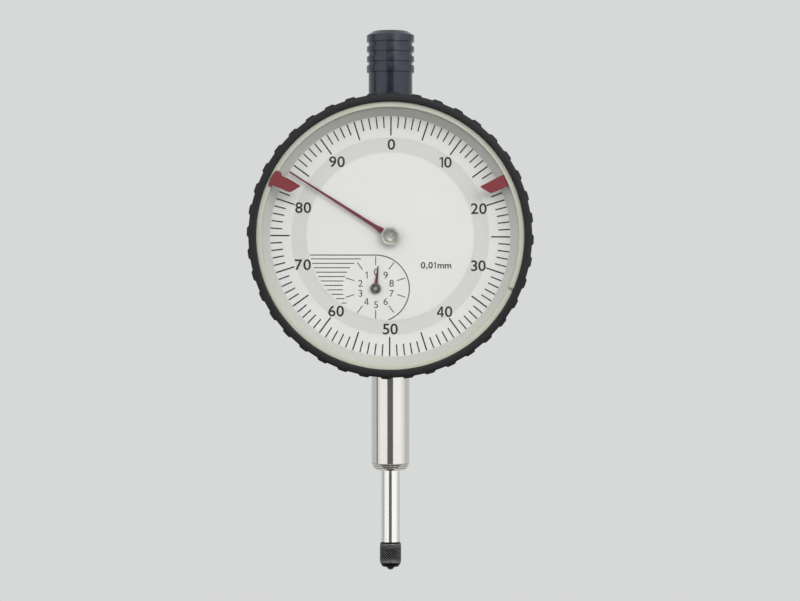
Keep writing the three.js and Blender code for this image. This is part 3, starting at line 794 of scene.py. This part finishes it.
def make_marker(name, node, body, at, long_side, head):
    """A tolerance marker: its long edge marks the limit, and its head runs against the ring.

    head is its half width, and where it starts on the long side and on the short side.
    """
    low, high = box_mm(node)
    half, long_start, short_start = head
    outline = [
        (1.13, 20.95),
        (1.28, long_start),
        (half, long_start + 0.25),
        (half, 26.95),
        (0.6, 27.25),
        (-0.6, 27.25),
        (-half, 26.95),
        (-half, short_start + 0.1),
        (-1.28, short_start),
        (-1.13, 22.4),
    ]
    corners = rounded(outline, [0.42, 0.18, 0.2, 0.3, 0.5, 0.5, 0.3, 0.15, 0.12, 0.5], 5)
    shape = bmesh.new()
    facing = turned([(across * long_side, out) for across, out in corners], at)
    prism(shape, facing, low.y, high.y, bevel=0.06)
    piece(name, shape, body, MARKER_RED, [node])


# ---------------------------------------------------------------- hands

MAIN_HAND_AT = 302.5
COUNTER_HAND_AT = 6.3


def hand_outline(eye, stations, at, x, z):
    """A flat hand: an eye round its hub, and a blade through (distance, half width) stations."""
    spread = math.degrees(math.asin(stations[0][1] / eye))
    points = arc(eye, spread, 360 - spread, 40, 0, 0)
    points += [(-half, reach) for reach, half in stations[1:]]
    points += [(half, reach) for reach, half in reversed(stations[1:])]
    return turned(points, at, x, z)


def make_main_hand():
    low, high = box_mm("main_hand")
    shape = bmesh.new()
    blade = [(1.7, 0.62), (2.4, 0.6), (3.2, 0.46), (4.2, 0.38), (24.6, 0.14), (24.7, 0.08)]
    outline = hand_outline(1.8, blade, MAIN_HAND_AT, DIAL_X, DIAL_Z)
    prism(shape, outline, low.y, high.y, [circle(1.02, 32)], 0.03)
    piece("main_pointer", shape, "centre_arbor", HAND_RED, ["main_hand"])

    low, high = box_mm("main_hand_hub")
    shape = bmesh.new()
    section = [
        (0.3, low.y + 0.2),
        (0.4, low.y + 0.12),
        (0.62, low.y + 0.1),
        (0.68, low.y + 0.16),
        (0.74, low.y + 0.1),
        (1.5, low.y + 0.06),
        (1.57, low.y + 0.14),
        (1.63, low.y + 0.02),
        (1.78, low.y),
        (1.95, low.y + 0.2),
        (1.95, low.y + 0.7),
        (1.0, low.y + 0.7),
        (1.0, high.y),
        (0.5, high.y),
        (0.5, low.y + 0.2),
    ]
    soft = [0.02, 0.04, 0.02, 0.02, 0.02, 0.02, 0.02, 0.05, 0.1, 0.13, 0.05, 0.05, 0.03, 0.03, 0.01]
    lathe(shape, rounded(section, soft, 4), 96)
    piece("main_pointer_hub", shape, "centre_arbor", TURNED_STEEL, ["main_hand_hub"])


def make_counter_hand():
    low, high = box_mm("counter_hand")
    shape = bmesh.new()
    blade = [(0.92, 0.38), (1.6, 0.31), (4.6, 0.11), (4.7, 0.06)]
    outline = hand_outline(1.0, blade, COUNTER_HAND_AT, COUNTER_X, COUNTER_Z)
    prism(shape, outline, low.y, high.y, [circle(0.53, 24, COUNTER_X, COUNTER_Z)], 0.02)
    piece("counter_pointer", shape, "counter", HAND_RED, ["counter_hand"])

    low, high = counter_low, counter_high
    shape = bmesh.new()
    section = [
        (0.3, low.y + 0.08),
        (0.42, low.y + 0.02),
        (0.7, low.y + 0.02),
        (0.76, low.y + 0.08),
        (0.82, low.y),
        (0.92, low.y),
        (1.1, low.y + 0.15),
        (1.1, low.y + 0.3),
        (0.5, low.y + 0.3),
        (0.5, high.y),
        (0.35, high.y),
        (0.35, low.y + 0.08),
    ]
    soft = [0.02, 0.04, 0.02, 0.02, 0.03, 0.05, 0.06, 0.03, 0.03, 0.02, 0.02, 0.01]
    lathe(shape, rounded(section, soft, 3), 64, COUNTER_X, COUNTER_Z)
    piece("counter_pointer_hub", shape, "counter", GUNMETAL, ["counter_hand_hub"])


# ---------------------------------------------------------------- case

def combined(shape, extra, operation="UNION"):
    """One closed solid from two that cross, joined or the second cut from the first."""
    objects = []
    for solid in (shape, extra):
        bmesh.ops.recalc_face_normals(solid, faces=solid.faces)
        mesh = bpy.data.meshes.new("solid")
        solid.to_mesh(mesh)
        solid.free()
        objects.append(placed("solid", mesh))
    first, second = objects
    join = first.modifiers.new("join", "BOOLEAN")
    join.operation = operation
    join.solver = "EXACT"
    join.object = second
    mesh = evaluated_mesh(first)
    out = bmesh.new()
    out.from_mesh(mesh)
    bpy.data.meshes.remove(mesh)
    for o in objects:
        mesh = o.data
        bpy.data.objects.remove(o)
        bpy.data.meshes.remove(mesh)
    return out


CASE_SHOULDER_Y = -4.7
CASE_WALL_RADIUS = 25.4


def boss(radius, bottom, top, bottom_growth, top_growth):
    """A round boss about the spindle's axis, which grows or shrinks at its ends."""
    shape = bmesh.new()
    widths = ((bottom, bottom_growth), (bottom + 0.5, 0), (top - 0.5, 0), (top, top_growth))
    loft(shape, [level_ring(radius + growth, z, 64) for z, growth in widths], ends="capped")
    return shape


def make_case():
    low, high = box_mm("case_shell")
    radius = (high.x - low.x) / 2
    neck, groove, bore, centre_hole = 26.6, 25.9, 24.8, 2.4
    groove_front, groove_rear, deck_rear = -6.65, -5.95, -6.6
    section = [
        (centre_hole, low.y),
        (neck, low.y),
        (neck, groove_front),
        (groove, groove_front),
        (groove, groove_rear),
        (neck, groove_rear),
        (neck, CASE_SHOULDER_Y),
        (radius, CASE_SHOULDER_Y),
        (radius, high.y),
        (bore, high.y),
        (bore, deck_rear),
        (centre_hole, deck_rear),
    ]
    soft = [0.03, 0.2, 0.05, 0.05, 0.05, 0.05, 0.05, 0.35, 0.3, 0.1, 0.1, 0.03]
    shell = bmesh.new()
    lathe(shell, rounded(section, soft), 200)

    stem_boss = boss(5.6, DIAL_Z - 28.8, DIAL_Z - CASE_WALL_RADIUS, -0.3, 0)
    cut = bmesh.ops.bisect_plane(
        stem_boss,
        geom=stem_boss.verts[:] + stem_boss.edges[:] + stem_boss.faces[:],
        plane_co=(0, CASE_SHOULDER_Y + 0.05, 0),
        plane_no=(0, -1, 0),
        clear_outer=True,
    )
    edges = [e for e in cut["geom_cut"] if isinstance(e, bmesh.types.BMEdge)]
    bmesh.ops.contextual_create(stem_boss, geom=edges)
    shell = combined(shell, stem_boss)
    shell = combined(shell, boss(4.6, DIAL_Z + CASE_WALL_RADIUS, DIAL_Z + 28.5, 0, -0.15))
    piece("case_body", shell, "case", CASE_PAINT, ["case_shell"], 40)


def cover_screw(number):
    """A cover screw's node and the middle and radius of its head."""
    node = f"back_cover_screw_{number}"
    low, high = box_mm(node)
    return node, (low.x + high.x) / 2, (low.z + high.z) / 2, (high.x - low.x) / 2


def make_back_cover():
    low, high = box_mm("back_cover")
    radius = (high.x - low.x) / 2
    chamfer, groove_depth = 0.4, 0.25
    shape = bmesh.new()
    section = [
        (0, low.y),
        (radius, low.y),
        (radius, high.y - chamfer),
        (radius - chamfer, high.y),
        (23.6, high.y),
        (23.3, high.y - groove_depth),
        (22.9, high.y - groove_depth),
        (22.6, high.y),
        (0, high.y),
    ]
    lathe(shape, section, 200)
    countersinks = bmesh.new()
    cone = [(0, 8.0), (0.9, 8.0), (0.9, 8.8), (1.55, 9.45), (1.6, 10.2), (0, 10.2)]
    for number in range(1, 5):
        _, x, z, _ = cover_screw(number)
        lathe(countersinks, cone, 32, x, z)
    shape = combined(shape, countersinks, "DIFFERENCE")
    piece("back_cover_plate", shape, "case", CASE_PAINT, ["back_cover"], 30)


def make_cover_screws():
    """Slotted flat-headed screws."""
    slot_depth, slot_half, shank = 0.35, 0.2, 0.75
    for number in range(1, 5):
        node, x, z, radius = cover_screw(number)
        low, high = box_mm(node)
        top = high.y
        slot_floor = top - slot_depth
        shape = bmesh.new()
        section = [
            (0, low.y),
            (shank, low.y),
            (shank, top - 0.9),
            (radius, top - 0.3),
            (radius, slot_floor),
            (0, slot_floor),
        ]
        lathe(shape, section, 32, x, z)
        start = math.asin(slot_half / radius)
        angles = [start + (math.pi - 2 * start) * i / 16 for i in range(17)]
        for side in (-1, 1):
            half_disc = [(radius * math.cos(a), side * radius * math.sin(a)) for a in angles]
            outline = turned(half_disc, -(45 * number + 20), x, z)
            levels = ((slot_floor - 0.02, outline), (top - 0.06, outline), (top, inset(outline, 0.06)))
            rings = [[(px, y, pz) for px, pz in loop] for y, loop in levels]
            loft(shape, rings, ends="capped")
        piece(f"cover_screw_{number}", shape, "case", SCREW_STEEL, [node])


# ---------------------------------------------------------------- stem and spindle

def make_stem():
    """The stem, with three turned grooves round its nose."""
    low, high = box_mm("stem")
    radius = (high.x - low.x) / 2
    bore = 2.55
    bottom = low.z
    shape = bmesh.new()
    section = [
        (bore, bottom + 0.2),
        (2.75, bottom),
        (2.95, bottom),
        (3.55, bottom + 0.4),
        (3.4, bottom + 0.48),
        (3.62, bottom + 0.56),
        (3.8, bottom + 0.86),
        (3.64, bottom + 0.94),
        (3.86, bottom + 1.02),
        (radius, bottom + 1.3),
        (radius - 0.16, bottom + 1.38),
        (radius, bottom + 1.46),
        (radius, high.z),
        (bore, high.z),
    ]
    upright(shape, rounded(section, [0.04] * 4 + [0.01] * 8 + [0.02] * 2, 2), 96)
    piece("stem_tube", shape, "case", STEM_STEEL, ["stem"], 12)


def make_upper_neck():
    low, high = box_mm("upper_neck")
    radius = (high.x - low.x) / 2
    bore, chamfer = 2.6, 0.3
    shape = bmesh.new()
    section = [
        (bore, low.z),
        (radius, low.z),
        (radius, high.z - chamfer),
        (radius - chamfer, high.z),
        (bore, high.z),
    ]
    upright(shape, section, 64)
    piece("upper_neck_tube", shape, "case", SATIN_STEEL, ["upper_neck"], 28)


RACK_PITCH = 0.625
RACK_PINION_TEETH = 16
FIRST_TOOTH, LAST_TOOTH = -20, 4


def make_spindle():
    """The spindle, with rack teeth on its left side where the counter's pinion runs."""
    low, high = box_mm("spindle")
    radius = (high.x - low.x) / 2
    pitch_line = COUNTER_X + RACK_PITCH * RACK_PINION_TEETH / (2 * math.pi)
    root, tip = pitch_line + 0.3, pitch_line - 0.15
    shoulder, thread_radius = DIAL_Z + 40.2, 1.25

    # Each station is a height, a radius and the X of a flat, where there is one.
    stations = [(low.z, radius - 0.12, None), (low.z + 0.12, radius, None)]
    stations.append((COUNTER_Z + (FIRST_TOOTH - 0.5) * RACK_PITCH, radius, None))
    for i in range(FIRST_TOOTH, LAST_TOOTH + 1):
        z = COUNTER_Z + i * RACK_PITCH
        stations.append((z - RACK_PITCH / 2 + 0.05, radius, tip))
        stations += [(z - 0.06, radius, root), (z + 0.06, radius, root)]
        stations.append((z + RACK_PITCH / 2 - 0.05, radius, tip))
    stations.append((COUNTER_Z + (LAST_TOOTH + 0.5) * RACK_PITCH, radius, None))
    stations += [(shoulder - 0.1, radius, None), (shoulder, radius - 0.1, None)]
    stations += [(shoulder + 0.001, thread_radius, None), (high.z - 0.2, thread_radius, None)]
    stations.append((high.z, thread_radius - 0.2, None))
    shape = bmesh.new()
    rings = [[(0, 0, low.z)]]
    for height, r, flat in stations:
        ring = level_ring(r, height, 96)
        if flat is not None:
            ring = [(max(x, flat), y, z) for x, y, z in ring]
        rings.append(ring)
    rings.append([(0, 0, high.z)])
    loft(shape, rings)
    piece("spindle_rod", shape, "plunger", SPINDLE_STEEL, ["spindle"], 25)


KNURL_COUNT = 26
KNURL_LEAD = 14.1
KNURL_DEPTH = 0.2


def knurl_height(a, z):
    """A diamond knurl, from 0 in a groove to 1 on a peak."""
    p = a / (2 * math.pi) * KNURL_COUNT
    q = z * KNURL_COUNT / KNURL_LEAD
    u = abs(((p + q) % 1.0) - 0.5) * 2
    v = abs(((p - q) % 1.0) - 0.5) * 2
    return min(1.0, 1.25 * min(u, v) + 0.1)


def make_contact_holder():
    low, high = box_mm("contact_holder")
    radius = (high.x - low.x) / 2
    top = box_mm("spindle")[0].z - 0.05
    count, rows, bore = 260, 64, 0.95
    knurl_top, knurl_bottom = top - 0.25, low.z + 0.9
    shape = bmesh.new()
    rings = [[(0, 0, top)], level_ring(1.8, top, count), level_ring(radius - 0.2, top, count)]
    for k in range(rows + 1):
        z = knurl_top + (knurl_bottom - knurl_top) * k / rows
        fade = min(1.0, 4.0 * k / rows, 4.0 * (rows - k) / rows)
        ring = []
        for i in range(count):
            a = 2 * math.pi * i / count
            r = radius - KNURL_DEPTH * (1 - knurl_height(a, z)) * fade - 0.02 * (1 - fade)
            ring.append((r * math.cos(a), r * math.sin(a), z))
        rings.append(ring)
    for r, z in ((1.72, low.z + 0.03), (1.6, low.z), (bore, low.z), (bore, low.z + 1.3)):
        rings.append(level_ring(r, z, count))
    rings.append([(0, 0, low.z + 1.3)])
    loft(shape, rings)
    piece("contact_collar", shape, "plunger", KNURLED, ["contact_holder"], 60)


def make_contact_tip():
    low, high = box_mm("contact_ball")
    radius = (high.x - low.x) / 2
    centre = low.z + radius
    shape = bmesh.new()
    dome = [
        (radius * math.sin(math.radians(d)), centre - radius * math.cos(math.radians(d)))
        for d in range(0, 91, 6)
    ]
    upright(shape, [*dome, (radius, high.z), (0, high.z)], 48)
    piece("contact_tip", shape, "plunger", HARD_BLACK, ["contact_ball"])


CAP_GROOVES = ((36.07, 36.87), (37.97, 38.97), (40.06, 41.06))


def make_cap():
    """The lifting cap: a hollow skirt, and a grip with three grooves and a chamfered top."""
    low, high = box_mm("lifting_cap")
    grip = (high.x - low.x) / 2
    skirt, waist = grip - 0.4, grip - 0.38
    thread_radius, thread_top = 1.3, DIAL_Z + 42.7
    bore, bore_top = 3.6, DIAL_Z + 41.0
    grip_bottom, top = DIAL_Z + 34.62, high.z
    outline = [
        (0, thread_top),
        (thread_radius, thread_top),
        (thread_radius, bore_top),
        (bore, bore_top),
        (bore, low.z),
        (skirt, low.z),
        (skirt, grip_bottom),
        (grip, grip_bottom),
    ]
    for bottom, ceiling in CAP_GROOVES:
        outline += [(grip, DIAL_Z + bottom), (waist, DIAL_Z + bottom + 0.08)]
        outline += [(waist, DIAL_Z + ceiling - 0.08), (grip, DIAL_Z + ceiling)]
    outline += [(grip, top - 1.0), (grip - 1.35, top - 0.15), (2.2, top - 0.02), (0, top)]
    soft = [0, 0.02, 0.02, 0.1, 0.1, 0.15, 0.08, 0.1] + [0] * 14 + [0.3, 0]
    shape = bmesh.new()
    upright(shape, rounded(outline, soft), 96)
    piece("lift_cap", shape, "plunger", CAP_BLACK, ["lifting_cap"], 12)


make_bezel()
make_snap_ring()
make_crystal()
make_flange()
make_scale_ring()
make_scale_print()
make_dial_disc()
make_counter_print()
make_marker("left_limit_marker", "marker_left", "left_marker", LEFT_MARKER_AT, 1, (1.78, 25.5, 26.3))
make_marker("right_limit_marker", "marker_right", "right_marker", RIGHT_MARKER_AT, -1, (1.33, 26.3, 26.4))
make_main_hand()
make_counter_hand()
make_case()
make_back_cover()
make_cover_screws()
make_stem()
make_upper_neck()
make_spindle()
make_contact_holder()
make_contact_tip()
make_cap()

# ---------------------------------------------------------------- the CAD's own parts that stay

FINISHES = {
    "back_cover_gasket": GASKET,
    "bezel_spring_ring": SPRING_STEEL,
    "lower_guide_bush": BRONZE,
    "upper_guide_bush": BRONZE,
    "movement_bridge_plate": BRASS,
    "movement_rear_plate": BRASS,
    "centre_arbor_bush": BRONZE,
    "counter_arbor_bush": BRONZE,
    "measuring_spring": SPRING_STEEL,
    "spring_post": SATIN_STEEL,
    "hairspring": SPRING_STEEL,
    "hairspring_stud": BRASS,
    "guide_pin": SATIN_STEEL,
    "centre_pinion": SATIN_STEEL,
    "counter_arbor": SATIN_STEEL,
    "counter_gear": BRASS,
    "take_up_arbor": SATIN_STEEL,
    "take_up_gear": BRASS,
}
for number in range(1, 5):
    FINISHES[f"movement_pillar_{number}"] = SATIN_STEEL
    FINISHES[f"movement_screw_{number}"] = SCREW_STEEL
for name, finish in FINISHES.items():
    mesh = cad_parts[name].data
    mesh.materials.clear()
    mesh.materials.append(finish)

# ---------------------------------------------------------------- studio, in metres

BACKDROP = linear(215, 217, 216)

world = bpy.data.worlds.new("studio")
world.use_nodes = True
world.node_tree.nodes["Background"].inputs["Color"].default_value = BACKDROP
world.node_tree.nodes["Background"].inputs["Strength"].default_value = 1.0
bpy.context.scene.world = world
bpy.context.scene.view_settings.view_transform = "Standard"
bpy.context.scene.view_settings.look = "None"

camera = bpy.data.cameras.new("camera")
camera.lens = 116.3
camera.sensor_width = 36.0
camera.clip_start = 0.01
camera.clip_end = 50.0
camera_object = placed("camera", camera)
camera_object.location = (0.002, -0.544, 0.0257)
camera_object.rotation_euler = (math.radians(90), 0, 0)
bpy.context.scene.camera = camera_object


def glowing(name, corners, faces, colour, strength):
    """A staged surface that gives out an even light."""
    mesh = bpy.data.meshes.new(name)
    mesh.from_pydata(corners, [], faces)
    material = bpy.data.materials.new(name)
    material.use_nodes = True
    tree = material.node_tree
    tree.nodes.remove(tree.nodes["Principled BSDF"])
    glow = tree.nodes.new("ShaderNodeEmission")
    glow.inputs["Color"].default_value = colour
    glow.inputs["Strength"].default_value = strength
    tree.links.new(glow.outputs[0], tree.nodes["Material Output"].inputs["Surface"])
    mesh.materials.append(material)
    o = placed(name, mesh)
    return o


SCREEN_DISTANCE = 0.8
SCREEN_FOOT = -0.19


def screen(name, start, end, top, colour, strength):
    """An upright screen bent round the indicator, between two azimuths.

    Azimuth 0 is the camera's side, and it grows to the right.
    """
    steps = max(1, round(abs(end - start) / 6))
    corners, faces = [], []
    for i in range(steps + 1):
        a = math.radians(start + (end - start) * i / steps)
        for z in (SCREEN_FOOT, top):
            corners.append((SCREEN_DISTANCE * math.sin(a), -SCREEN_DISTANCE * math.cos(a), z))
    for i in range(steps):
        faces.append((2 * i, 2 * i + 1, 2 * i + 3, 2 * i + 2))
    glowing(name, corners, faces, colour, strength).visible_camera = False


WARM = (1.0, 0.99, 0.965, 1)
PLAIN = (1.0, 0.997, 0.99, 1)
NEUTRAL = (1, 1, 1, 1)
screen("left_wing", -82, -66, 1.05, WARM, 1.02)
screen("left_screen", -66, -19, 1.05, WARM, 1.22)
screen("dark_flag", -19, 16, 0.3, NEUTRAL, 0.15)
screen("right_screen", 16, 68, 1.05, PLAIN, 1.28)
screen("right_wing", 68, 88, 1.05, PLAIN, 1.1)
screen("right_edge", 88, 104, 1.05, PLAIN, 0.82)
screen("dark_edge", -92, -84, 1.05, NEUTRAL, 0.1)


def softbox(name, azimuth, elevation, distance, width, tall, radiance, tint):
    """A rectangular lamp that faces the dial."""
    lamp = bpy.data.lights.new(name, "AREA")
    lamp.shape = "RECTANGLE"
    lamp.size = width
    lamp.size_y = tall
    lamp.energy = radiance * math.pi * width * tall
    lamp.color = tint
    o = placed(name, lamp)
    a, e = math.radians(azimuth), math.radians(elevation)
    offset = Vector((math.sin(a) * math.cos(e), -math.cos(a) * math.cos(e), math.sin(e)))
    o.location = Vector((0, 0, DIAL_Z * MM)) + offset * distance
    o.rotation_euler = (-offset).to_track_quat("-Z", "Y").to_euler()
    o.visible_camera = False


softbox("front_light", 14, 25, 0.6, 0.6, 0.25, 2.75, (1.0, 0.998, 0.985))
softbox("top_light", -14, 66, 0.6, 0.45, 0.24, 0.35, (1.0, 0.995, 0.98))

CARD_Z = -0.17
card_corners = [(x, y, CARD_Z) for x, y in ((-0.32, -0.34), (0.32, -0.34), (0.32, -0.02), (-0.32, -0.02))]
glowing("low_card", card_corners, [(0, 1, 2, 3)], NEUTRAL, 0.12).visible_camera = False

FLOOR_Z = -0.2
FLOOR_RADIUS = 4.0
floor_edge = level_ring(FLOOR_RADIUS, FLOOR_Z, 64)
glowing("floor", floor_edge, [tuple(range(len(floor_edge)))], BACKDROP, 1.0)
